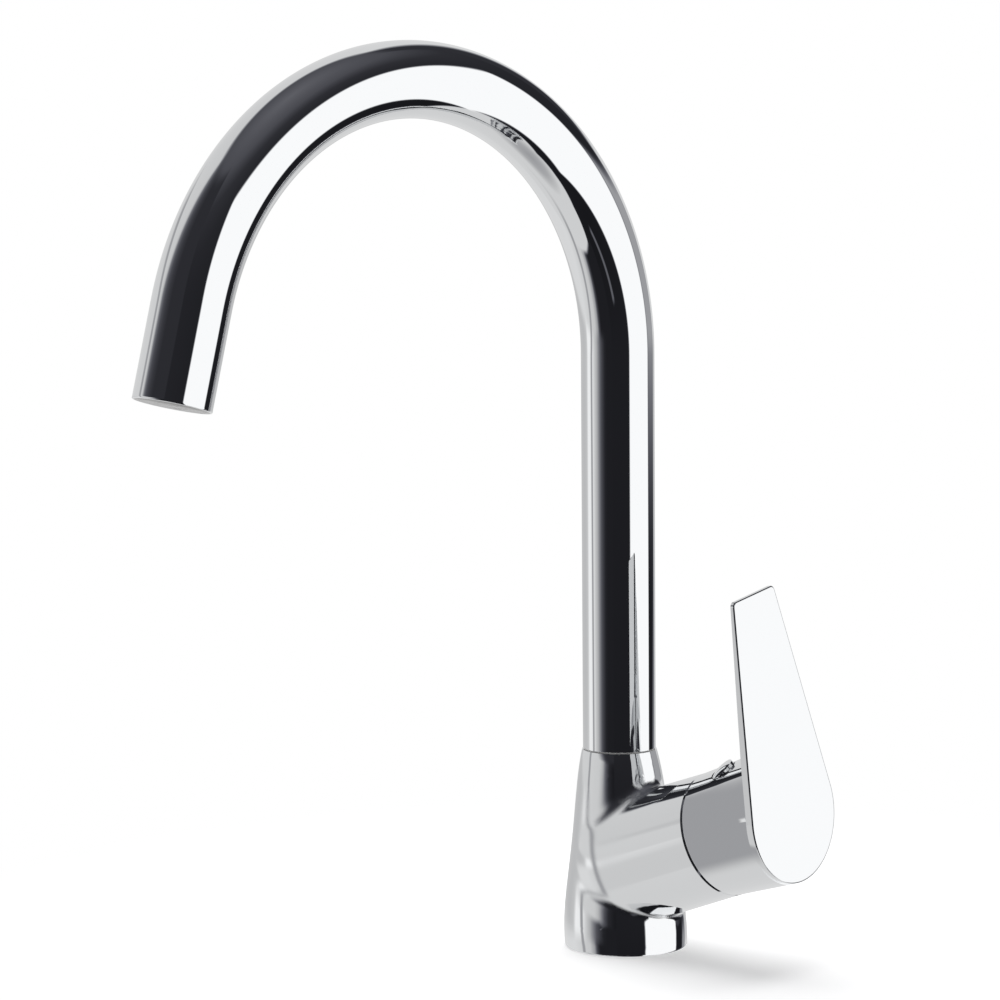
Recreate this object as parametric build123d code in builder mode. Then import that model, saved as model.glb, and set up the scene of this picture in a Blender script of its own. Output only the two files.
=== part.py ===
from build123d import *
import os
from math import acos, asin, atan2, cos, degrees, hypot, radians, sin, sqrt

# A deck mounted kitchen tap for hot, cold and filtered water. All sizes are in millimetres.
# +Z is up. The origin is the centre of the foot on the deck, on the axis of the fixing stud.
# The lever's barrel points to +X, and the spout to -Y, turned a little towards -X.

os.makedirs("parts", exist_ok=True)

# ---------------------------------------------------------------- driving sizes: the cast body
swivel_shift = 3.0          # the spout's axis stands this far behind the centre of the foot
foot_radius = 23.5
hip_height = 28.0
hip_radius = 21.4
waist_height = 56.0
waist_radius = 17.6
shoulder_height = 69.0
shoulder_radius = 15.8
collar_height = 76.2
collar_radius = 14.3
foot_edge_round = 0.8

barrel_height = 30.7        # where the barrel's axis crosses the spout's axis
barrel_tilt = 20.0          # degrees above the deck
barrel_root_distance = 10.0
barrel_root_radius = 24.4
barrel_mouth_radius = 23.7
neck_blend = 3.0            # round where the barrel grows out of the column

# ---------------------------------------------------------------- driving sizes: deck side
stud_hole_radius = 3.4
stud_hole_depth = 14.0
inlet_radius = 4.5
inlet_depth = 12.0
inlet_pitch_radius = 11.5
channel_radius = 2.7
channel_overlap = 2.0       # how far a channel reaches into the spaces that it joins
gasket_inner_radius = 19.3
gasket_outer_radius = 21.3
gasket_thickness = 1.6
gasket_play = 0.1

# ---------------------------------------------------------------- driving sizes: the spout
spout_rest_turn = -4.5      # degrees from -Y, as the tap stands
tube_radius = 14.0
tube_wall = 1.2
bend_radius = 103.6
bend_height = 228.1
bend_angle = 165.0
outlet_run = 35.2
tube_edge_round = 0.35

spout_bore_radius = 11.0
spout_bore_depth = 28.2
running_play = 0.08
glide_thickness = 0.6
glide_inner_radius = 11.2
glide_outer_radius = 13.7
foot_shank_length = 25.6
foot_plug_length = 14.0
braze_gap = 0.05
seal_seat_gap = 0.02        # between an O-ring and the floor of its groove
seal_side_play = 0.12
foot_ring_radius = 0.95
foot_ring_heights = (5.6, 17.6)         # above the lower end of the shank
retaining_groove_height = 11.6
retaining_groove_width = 3.5
retaining_groove_depth = 1.6
mixed_hole_count = 8
mixed_hole_radius = 1.5
mixed_hole_pitch_radius = 6.75

riser_radius = 4.0
riser_head_radius = 4.5
riser_bore_radius = 2.4
riser_socket_depth = 7.0
riser_well_depth = 5.0
riser_height = 14.0         # above the floor of the spout's bore
riser_head_length = 12.0
riser_head_room = 2.0       # free height above the riser
riser_ring_radius = 0.65
riser_ring_setback = 3.0
hose_inner_radius = 3.0
hose_outer_radius = 4.0
nipple_length = 9.0
nipple_bore_radius = 2.2

grub_radius = 2.0
grub_tip_radius = 1.4
grub_tip_play = 0.3         # between the tip and the floor of the spout's groove
grub_body_setback = 0.4     # from the bore to the thick part of the screw
grub_recess = 1.2
grub_socket_radius = 1.0
grub_socket_depth = 2.0

# ---------------------------------------------------------------- driving sizes: the outlet
outlet_recess = 5.0         # from the tube's end to the insert's rim
insert_length = 12.0
insert_play = 0.1
insert_floor_thickness = 6.0
insert_rim_wall = 1.2
insert_hole_count = 8
insert_hole_radius = 1.9
insert_hole_pitch_radius = 8.2
insert_ring_radius = 0.65
insert_post_radius = 4.7
nozzle_radius = 3.4
nozzle_bore_radius = 2.0
nozzle_length = 5.5
nozzle_lead = 1.0           # how far the nozzle stands in front of the insert's rim
screen_setback = 1.0        # from the insert's rim to the screen
screen_thickness = 1.2
screen_hole_radius = 0.8
screen_rows = ((6.6, 12), (9.3, 18))    # pitch radius and number of holes

# ---------------------------------------------------------------- driving sizes: the cartridge
chamber_floor = 22.0        # distances along the barrel count from the spout's axis
chamber_radius = 17.8
port_count = 5
port_pitch_radius = 10.5
port_radius = 2.7
port_seal_radius = 4.3
port_seal_height = 1.2
base_lift = 0.6
cartridge_radius = 17.4
cartridge_base_thickness = 3.4
housing_bore_radius = 15.7
fixed_disc_radius = 15.2
fixed_disc_thickness = 2.6
disc_gap = 0.05
moving_disc_radius = 13.0
moving_disc_thickness = 2.3
disc_pocket_depth = 1.1
disc_pocket_width = 3.6
disc_pocket_pitch_radius = 8.2
carrier_radius = 12.4
carrier_thickness = 5.0
carrier_rail_width = 3.0
carrier_rail_length = 14.0
carrier_rail_height = 1.1
carrier_rail_spread = 8.2   # from the middle to each rail
rail_play = 0.3
guide_gap = 0.4
guide_flange_radius = 15.2
guide_flange_thickness = 2.6
guide_neck_radius = 11.2
guide_neck_length = 9.6
guide_slot_length = 12.8
neck_ring_radius = 0.8
neck_ring_setback = 4.2     # from the guide's top to its O-ring
housing_neck_radius = 14.0
housing_neck_height = 6.2
housing_shoulder_thickness = 3.2

pivot_setback = 15.0        # the lever's pivot lies this far inside the seam
pin_radius = 1.5
pin_length = 21.0
pin_play = 0.05
stem_width = 8.0
stem_play = 0.15
stem_reach = 39.0
stem_shoulder = 3.0
stem_arm = 7.4              # from the pivot to the middle of the ball
stem_arm_radius = 1.5
stem_ball_radius = 2.2
ball_play = 0.2
lift_angle = 25.0

nut_radius = 19.9
nut_height = 7.2
nut_thread_play = 0.1
nut_neck_play = 0.3
nut_slot_count = 6
nut_slot_width = 4.0
nut_slot_depth = 2.0
dome_wall = 1.8
dome_opening_radius = 13.5
dome_skirt_length = 3.6
dome_skirt_wall = 1.5

# ---------------------------------------------------------------- driving sizes: the lever
seam_distance = 56.3
seam_land = 0.35            # width of the hub's rear edge
seam_play = 0.25            # between the hub's hollow and the dome
seam_edge_round = 0.25
hub_flare = 0.058           # growth of the hub's radius along the barrel
plate_distance = 90.9       # front of the plate on the barrel's axis
plate_rake = 14.5           # degrees between the plate and a plane square to the barrel
plate_radius = 25.6
plate_drop = 0.6
plate_overlap = 0.4         # how far the hub runs into the plate
blade_height = 84.4
blade_top_width = 25.4
blade_corner_radius = 2.0
plate_thickness = 3.2
blade_tip_thickness = 1.7
plate_edge_round = 0.7
lever_rest_turn = 10.0      # degrees about the barrel, as the tap stands
hub_wall = 3.6
hub_front_wall = 5.0        # from the plate's front to the hollow
boss_radius = 7.5
boss_start = 24.5           # from the pivot along the stem
stem_head_turn = 22.0       # degrees about the stem, towards the user, of its head and screw
lever_screw_reach = 35.2    # from the pivot along the stem
lever_screw_radius = 2.5
lever_screw_length = 6.0
lever_screw_wall = 2.5
lever_socket_radius = 1.4
lever_socket_depth = 2.5
plug_radius = 4.9
plug_seat_radius = 5.2
plug_seat_depth = 3.0
plug_thickness = 3.6
plug_dome_height = 0.8

# ---------------------------------------------------------------- planes and axes
swivel_point = Vector(-swivel_shift, 0, 0)
swivel_axis = Axis(swivel_point, (0, 0, 1))

spout_turn = radians(spout_rest_turn)
spout_out = Vector(sin(spout_turn), -cos(spout_turn), 0)
spout_plane = Plane(origin=swivel_point, x_dir=spout_out, z_dir=spout_out.cross(Vector(0, 0, 1)))

tilt = radians(barrel_tilt)
barrel_origin = Vector(-swivel_shift, 0, barrel_height)
barrel_out = Vector(cos(tilt), 0, sin(tilt))
barrel_side = Vector(0, 1, 0)
barrel_up = barrel_out.cross(barrel_side)
barrel_axis = Axis(barrel_origin, barrel_out)


def section_plane(origin, across, along):
    """A plane through an axis of turning: x away from the axis, y along it."""
    return Plane(origin=origin, x_dir=across, z_dir=across.cross(along))


swivel_section = section_plane(swivel_point, Vector(1, 0, 0), Vector(0, 0, 1))
barrel_section = section_plane(barrel_origin, barrel_side, barrel_out)


def barrel_plane(distance, turn=0.0):
    """A plane square to the barrel, with its x to the side and its y up before it is turned."""
    angle = radians(turn)
    side = barrel_side * cos(angle) + barrel_up * sin(angle)
    return Plane(origin=barrel_origin + barrel_out * distance, x_dir=side, z_dir=barrel_out)


def leaned(plane, angle):
    """A plane turned about its own x, so that its z leans towards its y by an angle."""
    lean = radians(angle)
    out = plane.z_dir * cos(lean) + plane.y_dir * sin(lean)
    return Plane(origin=plane.origin, x_dir=plane.x_dir, z_dir=out)


def ball_side(ball_radius, from_axis):
    """How far along its axis a ball's surface stands, at a distance from that axis."""
    return sqrt(ball_radius**2 - from_axis**2)


def ball_angle(ball_radius, from_axis):
    """The angle above its equator, in degrees, of a ball's surface at a distance from its axis."""
    return degrees(acos(from_axis / ball_radius))


def touch_angle(radius, across, along):
    """Where a straight line from a point touches a circle round the origin, in degrees."""
    return degrees(atan2(along, across) - acos(radius / hypot(across, along)))


# ---------------------------------------------------------------- places along the barrel
pivot_distance = seam_distance - pivot_setback
hub_ball_radius = hypot(pivot_setback, barrel_mouth_radius - seam_land)
dome_ball_radius = hub_ball_radius - seam_play
mouth_distance = pivot_distance + ball_side(dome_ball_radius, barrel_mouth_radius)

base_bottom = chamber_floor + base_lift
base_top = base_bottom + cartridge_base_thickness
moving_disc_bottom = base_top + fixed_disc_thickness + disc_gap
moving_disc_top = moving_disc_bottom + moving_disc_thickness
carrier_top = moving_disc_top + carrier_thickness
guide_bottom = carrier_top + guide_gap
guide_flange_top = guide_bottom + guide_flange_thickness
guide_top = guide_flange_top + guide_neck_length
housing_shoulder_bottom = guide_flange_top + guide_gap
housing_shoulder_top = housing_shoulder_bottom + housing_shoulder_thickness
housing_top = housing_shoulder_top + housing_neck_height
housing_neck_bore = guide_neck_radius + running_play
nut_top = housing_shoulder_top + nut_height

# At rest the lever is shut, so its stem leans by half the lift, and the disc lies low.
stem_rest_angle = lift_angle / 2
pivot_plane = barrel_plane(pivot_distance, lever_rest_turn)
pin_plane = Plane(origin=pivot_plane.origin, z_dir=pivot_plane.x_dir)
stem_plane = leaned(pivot_plane, stem_rest_angle)
head_angle = radians(stem_head_turn)
head_side = stem_plane.x_dir * cos(head_angle) + stem_plane.y_dir * sin(head_angle)
head_plane = Plane(origin=stem_plane.origin, x_dir=head_side, z_dir=stem_plane.z_dir)
disc_shift = stem_arm * sin(radians(stem_rest_angle))


def disc_plane(distance):
    """A plane across the sliding disc as it lies at rest, a distance along the barrel."""
    across = barrel_plane(distance, lever_rest_turn)
    return Plane(origin=across.origin - across.y_dir * disc_shift, x_dir=across.x_dir, z_dir=barrel_out)


# ---------------------------------------------------------------- places along the spout
glide_top = collar_height + glide_thickness
shank_bottom = glide_top - foot_shank_length
shank_radius = spout_bore_radius - running_play
spout_bore_floor = collar_height - spout_bore_depth
tube_bore_radius = tube_radius - tube_wall
plug_top = glide_top + foot_plug_length
riser_top = spout_bore_floor + riser_height
insert_back_depth = outlet_recess + insert_length
insert_radius = tube_bore_radius - insert_play
retaining_floor_radius = shank_radius - retaining_groove_depth


def spout_line(start_height, end_setback):
    """The spout's centre line, from a height on the swivel axis to a distance short of its end."""
    with BuildLine(spout_plane) as line:
        Line((0, start_height), (0, bend_height))
        bend = CenterArc((bend_radius, bend_height), bend_radius, 180, -bend_angle)
        PolarLine(bend @ 1, outlet_run - end_setback, angle=90 - bend_angle)
    return line.line


spout_path = spout_line(glide_top, 0)
hose_path = spout_line(plug_top, insert_back_depth)
outlet_centre = spout_path @ 1
outlet_flow = spout_path % 1
outlet_axis = Axis(outlet_centre, outlet_flow)
outlet_section = section_plane(outlet_centre, spout_plane.z_dir, outlet_flow)


def outlet_plane(depth):
    """A plane across the tube, a depth inside the outlet, with its z along the flow."""
    return Plane(origin=outlet_centre - outlet_flow * depth, x_dir=spout_plane.z_dir, z_dir=outlet_flow)


# ---------------------------------------------------------------- outlines that repeat
def outline(plane, *corners):
    """A face on a plane, with straight sides between its corners."""
    with BuildSketch(plane) as drawing:
        with BuildLine():
            Polyline(*corners, close=True)
        make_face()
    return drawing.sketch


def groove(plane, wall_radius, floor_radius, place, width):
    """The section of a square groove in a round wall."""
    low = place - width / 2
    high = place + width / 2
    return outline(plane, (floor_radius, low), (wall_radius, low), (wall_radius, high), (floor_radius, high))


def seal_groove(plane, wall_radius, wire_radius, place):
    """The section of the groove that an O-ring fills up to the wall."""
    floor_radius = wall_radius - 2 * wire_radius - seal_seat_gap
    return groove(plane, wall_radius, floor_radius, place, 2 * (wire_radius + seal_side_play))


def seal_wire(plane, wall_radius, wire_radius, place):
    """The section of that O-ring."""
    with BuildSketch(plane) as drawing:
        with Locations((wall_radius - wire_radius, place)):
            Circle(wire_radius)
    return drawing.sketch


def save(piece, name):
    """Names a finished piece and writes it."""
    piece.part.label = name
    export_step(piece.part, f"parts/{name}.step")


# ================================================================ the cast body
def foot_shift(height):
    """The column leans from the centre of the foot to the spout's axis."""
    return -swivel_shift * height / collar_height


column_sections = (
    (0.0, foot_radius),
    (hip_height, hip_radius),
    (waist_height, waist_radius),
    (shoulder_height, shoulder_radius),
    (collar_height, collar_radius),
)

# Ports in the cartridge's floor, counted round the barrel: mixed water leaves at the top.
port_names = ("hot", "mixed", "filtered_out", "filtered_in", "cold")
port_step = 360.0 / port_count
port_angles = {name: 90.0 + (index - 1) * port_step for index, name in enumerate(port_names)}


def port_point(name):
    """The centre of one port in the floor of the cartridge's chamber."""
    angle = radians(port_angles[name])
    across = barrel_side * cos(angle) + barrel_up * sin(angle)
    return barrel_origin + barrel_out * chamber_floor + across * port_pitch_radius


def inlet_point(angle, height):
    """A point on the axis of one hose inlet."""
    across = inlet_pitch_radius * cos(radians(angle))
    return Vector(across, inlet_pitch_radius * sin(radians(angle)), height)


inlet_angles = {"cold": 60.0, "hot": 180.0, "filtered": 300.0}
channel_end_height = inlet_depth - channel_overlap / 2
riser_well_floor = spout_bore_floor - riser_socket_depth - riser_well_depth
mixed_exit = Vector(-swivel_shift + spout_bore_radius / 2, 0, spout_bore_floor - channel_radius / 2)
channels = (
    (port_point("hot"), inlet_point(inlet_angles["hot"], channel_end_height)),
    (port_point("cold"), inlet_point(inlet_angles["cold"], channel_end_height)),
    (port_point("filtered_in"), inlet_point(inlet_angles["filtered"], channel_end_height)),
    (port_point("filtered_out"), Vector(-swivel_shift, 0, riser_well_floor + channel_overlap / 2)),
    (port_point("mixed"), mixed_exit),
)

retaining_height = shank_bottom + retaining_groove_height
retaining_plane = Plane(origin=(-swivel_shift, 0, retaining_height), x_dir=(1, 0, 0), z_dir=(0, 1, 0))

with BuildPart() as tap_body:
    # The column: round sections that grow and step forward towards the foot.
    for height, radius in column_sections:
        with BuildSketch(Plane.XY.offset(height)):
            with Locations((foot_shift(height), 0)):
                Circle(radius)
    loft()
    # The barrel: a slight cone with a ball end inside the column.
    with BuildSketch(barrel_section):
        with BuildLine():
            mouth_length = mouth_distance - barrel_root_distance
            root_angle = touch_angle(barrel_root_radius, barrel_mouth_radius, mouth_length)
            root = CenterArc((0, barrel_root_distance), barrel_root_radius, -90, 90 + root_angle)
            Line(root @ 1, (barrel_mouth_radius, mouth_distance))
            Line((barrel_mouth_radius, mouth_distance), (0, mouth_distance))
            Line((0, mouth_distance), root @ 0)
        make_face()
    revolve(axis=barrel_axis)
    # The seams of the curved faces lie on the plane y = 0, and the joint's edges beside it.
    curved_edges = tap_body.edges().filter_by(GeomType.BSPLINE)
    neck_edges = curved_edges.filter_by(lambda edge: abs(edge.center().Y) > neck_blend)
    fillet(neck_edges, neck_blend)
    fillet(tap_body.faces().sort_by(Axis.Z)[0].edges(), foot_edge_round)
    # The spout's bore, the socket of the riser and the filtered water's well under it.
    with BuildSketch(Plane.XY.offset(spout_bore_floor)):
        with Locations(swivel_point):
            Circle(spout_bore_radius)
    extrude(amount=spout_bore_depth, mode=Mode.SUBTRACT)
    with BuildSketch(Plane.XY.offset(spout_bore_floor)):
        with Locations(swivel_point):
            Circle(riser_radius)
    extrude(amount=-riser_socket_depth, mode=Mode.SUBTRACT)
    with BuildSketch(Plane.XY.offset(riser_well_floor)):
        with Locations(swivel_point):
            Circle(channel_radius)
    extrude(amount=riser_well_depth, mode=Mode.SUBTRACT)
    # The cartridge's chamber, and the nut's wider thread in front of it.
    with BuildSketch(barrel_plane(chamber_floor)):
        Circle(chamber_radius)
    extrude(amount=mouth_distance - chamber_floor, mode=Mode.SUBTRACT)
    with BuildSketch(barrel_plane(housing_shoulder_top)):
        Circle(nut_radius + nut_thread_play)
    extrude(amount=mouth_distance - housing_shoulder_top, mode=Mode.SUBTRACT)
    # The water ways from the chamber's floor to the inlets and to the spout.
    for start, end in channels:
        way = end - start
        with BuildSketch(Plane(origin=start - way.normalized() * channel_overlap, z_dir=way)):
            Circle(channel_radius)
        extrude(amount=way.length + channel_overlap, mode=Mode.SUBTRACT)
    # The foot: the stud's thread, three inlets and the gasket's groove.
    with BuildSketch(Plane.XY):
        Circle(stud_hole_radius)
    extrude(amount=stud_hole_depth, mode=Mode.SUBTRACT)
    with BuildSketch(Plane.XY):
        with Locations(*[inlet_point(angle, 0) for angle in inlet_angles.values()]):
            Circle(inlet_radius)
    extrude(amount=inlet_depth, mode=Mode.SUBTRACT)
    with BuildSketch(Plane.XY):
        Circle(gasket_outer_radius + gasket_play)
        Circle(gasket_inner_radius - gasket_play, mode=Mode.SUBTRACT)
    extrude(amount=gasket_thickness, mode=Mode.SUBTRACT)
    # The retaining screw's thread, at the back.
    with BuildSketch(retaining_plane):
        Circle(grub_radius)
    extrude(amount=foot_radius, mode=Mode.SUBTRACT)
save(tap_body, "tap_body")

with BuildPart() as base_gasket:
    with BuildSketch(Plane.XY):
        Circle(gasket_outer_radius)
        Circle(gasket_inner_radius, mode=Mode.SUBTRACT)
    extrude(amount=gasket_thickness)
save(base_gasket, "base_gasket")

# The riser stands in the body, and the spout's foot turns round its head.
riser_ring_height = riser_top - riser_ring_setback
with BuildPart() as filtered_riser:
    riser_bottom = spout_bore_floor - riser_socket_depth
    head_bottom = riser_top - riser_head_length
    riser_outline = outline(
        swivel_section,
        (riser_bore_radius, riser_bottom),
        (riser_radius, riser_bottom),
        (riser_radius, head_bottom),
        (riser_head_radius, head_bottom),
        (riser_head_radius, riser_top),
        (riser_bore_radius, riser_top),
    )
    revolve(riser_outline, axis=swivel_axis)
    ring_seat = seal_groove(swivel_section, riser_head_radius, riser_ring_radius, riser_ring_height)
    revolve(ring_seat, axis=swivel_axis, mode=Mode.SUBTRACT)
save(filtered_riser, "filtered_riser")

with BuildPart() as riser_o_ring:
    wire = seal_wire(swivel_section, riser_head_radius, riser_ring_radius, riser_ring_height)
    revolve(wire, axis=swivel_axis)
save(riser_o_ring, "riser_o_ring")

# The retaining screw's thin tip runs in a groove of the spout's foot.
waist_share = (retaining_height - waist_height) / (shoulder_height - waist_height)
column_side = waist_radius + (shoulder_radius - waist_radius) * waist_share
with BuildPart() as spout_grub_screw:
    tip_start = retaining_floor_radius + grub_tip_play
    body_start = spout_bore_radius + grub_body_setback
    body_end = column_side - grub_recess
    with BuildSketch(retaining_plane.offset(tip_start)):
        Circle(grub_tip_radius)
    extrude(amount=body_start - tip_start)
    with BuildSketch(retaining_plane.offset(body_start)):
        Circle(grub_radius)
    extrude(amount=body_end - body_start)
    with BuildSketch(retaining_plane.offset(body_end)):
        RegularPolygon(grub_socket_radius, 6)
    extrude(amount=-grub_socket_depth, mode=Mode.SUBTRACT)
save(spout_grub_screw, "spout_grub_screw")

with BuildPart() as spout_glide_ring:
    with BuildSketch(Plane.XY.offset(collar_height)):
        with Locations(swivel_point):
            Circle(glide_outer_radius)
            Circle(glide_inner_radius, mode=Mode.SUBTRACT)
    extrude(amount=glide_thickness)
save(spout_glide_ring, "spout_glide_ring")

# ================================================================ the spout
with BuildPart() as spout_tube:
    with BuildSketch(Plane(origin=spout_path @ 0, z_dir=spout_path % 0)):
        Circle(tube_radius)
        Circle(tube_bore_radius, mode=Mode.SUBTRACT)
    sweep(path=spout_path)
    fillet(spout_tube.faces().sort_by(outlet_axis)[-1].edges(), tube_edge_round)
save(spout_tube, "spout_tube")

with BuildPart() as spout_foot:
    bush_radius = riser_head_radius + running_play
    bush_top = riser_top + riser_head_room
    foot_outline = outline(
        swivel_section,
        (bush_radius, shank_bottom),
        (shank_radius, shank_bottom),
        (shank_radius, glide_top),
        (tube_bore_radius - braze_gap, glide_top),
        (tube_bore_radius - braze_gap, plug_top),
        (hose_inner_radius, plug_top),
        (hose_inner_radius, plug_top + nipple_length),
        (nipple_bore_radius, plug_top + nipple_length),
        (nipple_bore_radius, bush_top),
        (bush_radius, bush_top),
    )
    revolve(foot_outline, axis=swivel_axis)
    for ring_height in foot_ring_heights:
        ring_seat = seal_groove(swivel_section, shank_radius, foot_ring_radius, shank_bottom + ring_height)
        revolve(ring_seat, axis=swivel_axis, mode=Mode.SUBTRACT)
    retaining_groove = groove(
        swivel_section, shank_radius, retaining_floor_radius, retaining_height, retaining_groove_width
    )
    revolve(retaining_groove, axis=swivel_axis, mode=Mode.SUBTRACT)
    with BuildSketch(Plane.XY.offset(shank_bottom)):
        with Locations(swivel_point):
            with PolarLocations(mixed_hole_pitch_radius, mixed_hole_count):
                Circle(mixed_hole_radius)
    extrude(amount=plug_top - shank_bottom, mode=Mode.SUBTRACT)
save(spout_foot, "spout_foot")

with BuildPart() as spout_foot_o_rings:
    for ring_height in foot_ring_heights:
        wire = seal_wire(swivel_section, shank_radius, foot_ring_radius, shank_bottom + ring_height)
        revolve(wire, axis=swivel_axis)
save(spout_foot_o_rings, "spout_foot_o_rings")

with BuildPart() as filtered_hose:
    with BuildSketch(Plane(origin=hose_path @ 0, z_dir=hose_path % 0)):
        Circle(hose_outer_radius)
        Circle(hose_inner_radius, mode=Mode.SUBTRACT)
    sweep(path=hose_path)
save(filtered_hose, "filtered_hose")

# ================================================================ the outlet
# Distances along the flow are negative inside the tube.
insert_back = -insert_back_depth
insert_rim = -outlet_recess
insert_floor = insert_back + insert_floor_thickness
screen_front = insert_rim - screen_setback
nozzle_front = insert_rim + nozzle_lead
nozzle_back = nozzle_front - nozzle_length
insert_ring_place = insert_back + insert_floor_thickness / 2

with BuildPart() as outlet_insert:
    insert_outline = outline(
        outlet_section,
        (nipple_bore_radius, insert_back - nipple_length),
        (hose_inner_radius, insert_back - nipple_length),
        (hose_inner_radius, insert_back),
        (insert_radius, insert_back),
        (insert_radius, insert_rim),
        (insert_radius - insert_rim_wall, insert_rim),
        (insert_radius - insert_rim_wall, insert_floor),
        (insert_post_radius, insert_floor),
        (insert_post_radius, screen_front),
        (nozzle_radius, screen_front),
        (nozzle_radius, nozzle_back),
        (nipple_bore_radius, nozzle_back),
    )
    revolve(insert_outline, axis=outlet_axis)
    ring_seat = seal_groove(outlet_section, insert_radius, insert_ring_radius, insert_ring_place)
    revolve(ring_seat, axis=outlet_axis, mode=Mode.SUBTRACT)
    with BuildSketch(outlet_plane(insert_back_depth)):
        with PolarLocations(insert_hole_pitch_radius, insert_hole_count):
            Circle(insert_hole_radius)
    extrude(amount=insert_floor_thickness, mode=Mode.SUBTRACT)
save(outlet_insert, "outlet_insert")

with BuildPart() as outlet_o_ring:
    wire = seal_wire(outlet_section, insert_radius, insert_ring_radius, insert_ring_place)
    revolve(wire, axis=outlet_axis)
save(outlet_o_ring, "outlet_o_ring")

with BuildPart() as mixed_water_screen:
    with BuildSketch(outlet_plane(-screen_front)):
        Circle(insert_radius - insert_rim_wall)
        Circle(insert_post_radius, mode=Mode.SUBTRACT)
        for pitch_radius, hole_count in screen_rows:
            with PolarLocations(pitch_radius, hole_count):
                Circle(screen_hole_radius, mode=Mode.SUBTRACT)
    extrude(amount=-screen_thickness)
save(mixed_water_screen, "mixed_water_screen")

with BuildPart() as filtered_nozzle:
    with BuildSketch(outlet_plane(-nozzle_front)):
        Circle(nozzle_radius)
        Circle(nozzle_bore_radius, mode=Mode.SUBTRACT)
    extrude(amount=-nozzle_length)
save(filtered_nozzle, "filtered_nozzle")

# ================================================================ the cartridge
with BuildPart() as cartridge_base:
    with BuildSketch(barrel_plane(base_bottom)):
        Circle(cartridge_radius)
    extrude(amount=cartridge_base_thickness)
    with BuildSketch(barrel_plane(base_bottom)):
        with PolarLocations(port_pitch_radius, port_count, start_angle=port_angles["hot"]):
            Circle(port_seal_radius)
    extrude(amount=port_seal_height - base_lift, mode=Mode.SUBTRACT)
    with BuildSketch(barrel_plane(base_bottom)):
        with PolarLocations(port_pitch_radius, port_count, start_angle=port_angles["hot"]):
            Circle(port_radius)
    extrude(amount=cartridge_base_thickness, mode=Mode.SUBTRACT)
save(cartridge_base, "cartridge_base")

with BuildPart() as port_seals:
    with BuildSketch(barrel_plane(chamber_floor)):
        with PolarLocations(port_pitch_radius, port_count, start_angle=port_angles["hot"]):
            Circle(port_seal_radius)
            Circle(port_radius, mode=Mode.SUBTRACT)
    extrude(amount=port_seal_height)
save(port_seals, "port_seals")

with BuildPart() as fixed_disc:
    with BuildSketch(barrel_plane(base_top)):
        Circle(fixed_disc_radius)
        with PolarLocations(port_pitch_radius, port_count, start_angle=port_angles["hot"]):
            Circle(port_radius, mode=Mode.SUBTRACT)
    extrude(amount=fixed_disc_thickness)
save(fixed_disc, "fixed_disc")

# One pocket joins the hot and cold ports to the mixed one, the other joins the filtered pair.
disc_pockets = ((port_angles["cold"] - 360.0, 2 * port_step), (port_angles["filtered_out"], port_step))
with BuildPart() as moving_disc:
    with BuildSketch(disc_plane(moving_disc_bottom)):
        Circle(moving_disc_radius)
    extrude(amount=moving_disc_thickness)
    with BuildSketch(disc_plane(moving_disc_bottom)):
        for start_angle, sweep_angle in disc_pockets:
            pocket_arc = CenterArc((0, 0), disc_pocket_pitch_radius, start_angle, sweep_angle)
            SlotArc(pocket_arc, disc_pocket_width)
    extrude(amount=disc_pocket_depth, mode=Mode.SUBTRACT)
save(moving_disc, "moving_disc")

with BuildPart() as disc_carrier:
    with BuildSketch(disc_plane(moving_disc_top)):
        Circle(carrier_radius)
    extrude(amount=carrier_thickness)
    with BuildSketch(disc_plane(carrier_top)):
        with Locations((-carrier_rail_spread, 0), (carrier_rail_spread, 0)):
            Rectangle(carrier_rail_width, carrier_rail_length)
    extrude(amount=carrier_rail_height)
    with BuildSketch(disc_plane(moving_disc_top)):
        Circle(stem_ball_radius + ball_play)
    extrude(amount=carrier_thickness, mode=Mode.SUBTRACT)
save(disc_carrier, "disc_carrier")

with BuildPart() as cartridge_housing:
    housing_outline = outline(
        barrel_section,
        (cartridge_radius, base_top),
        (cartridge_radius, housing_shoulder_top),
        (housing_neck_radius, housing_shoulder_top),
        (housing_neck_radius, housing_top),
        (housing_neck_bore, housing_top),
        (housing_neck_bore, housing_shoulder_bottom),
        (housing_bore_radius, housing_shoulder_bottom),
        (housing_bore_radius, base_top),
    )
    revolve(housing_outline, axis=barrel_axis)
save(cartridge_housing, "cartridge_housing")

neck_ring_distance = guide_top - neck_ring_setback
with BuildPart() as stem_guide:
    with BuildSketch(barrel_plane(guide_bottom, lever_rest_turn)):
        Circle(guide_flange_radius)
    extrude(amount=guide_flange_thickness)
    with BuildSketch(barrel_plane(guide_flange_top, lever_rest_turn)):
        Circle(guide_neck_radius)
    extrude(amount=guide_neck_length)
    ring_seat = seal_groove(barrel_section, guide_neck_radius, neck_ring_radius, neck_ring_distance)
    revolve(ring_seat, axis=barrel_axis, mode=Mode.SUBTRACT)
    with BuildSketch(barrel_plane(guide_bottom, lever_rest_turn)):
        Rectangle(stem_width + 2 * stem_play, guide_slot_length)
    extrude(amount=guide_flange_thickness + guide_neck_length, mode=Mode.SUBTRACT)
    with BuildSketch(barrel_plane(guide_bottom, lever_rest_turn)):
        with Locations((-carrier_rail_spread, 0), (carrier_rail_spread, 0)):
            rail_room = carrier_rail_length + 2 * (disc_shift + rail_play)
            Rectangle(carrier_rail_width + 2 * rail_play, rail_room)
    extrude(amount=carrier_rail_height - guide_gap + rail_play, mode=Mode.SUBTRACT)
    with BuildSketch(pin_plane):
        Circle(pin_radius)
    extrude(amount=guide_neck_radius, both=True, mode=Mode.SUBTRACT)
save(stem_guide, "stem_guide")

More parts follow.
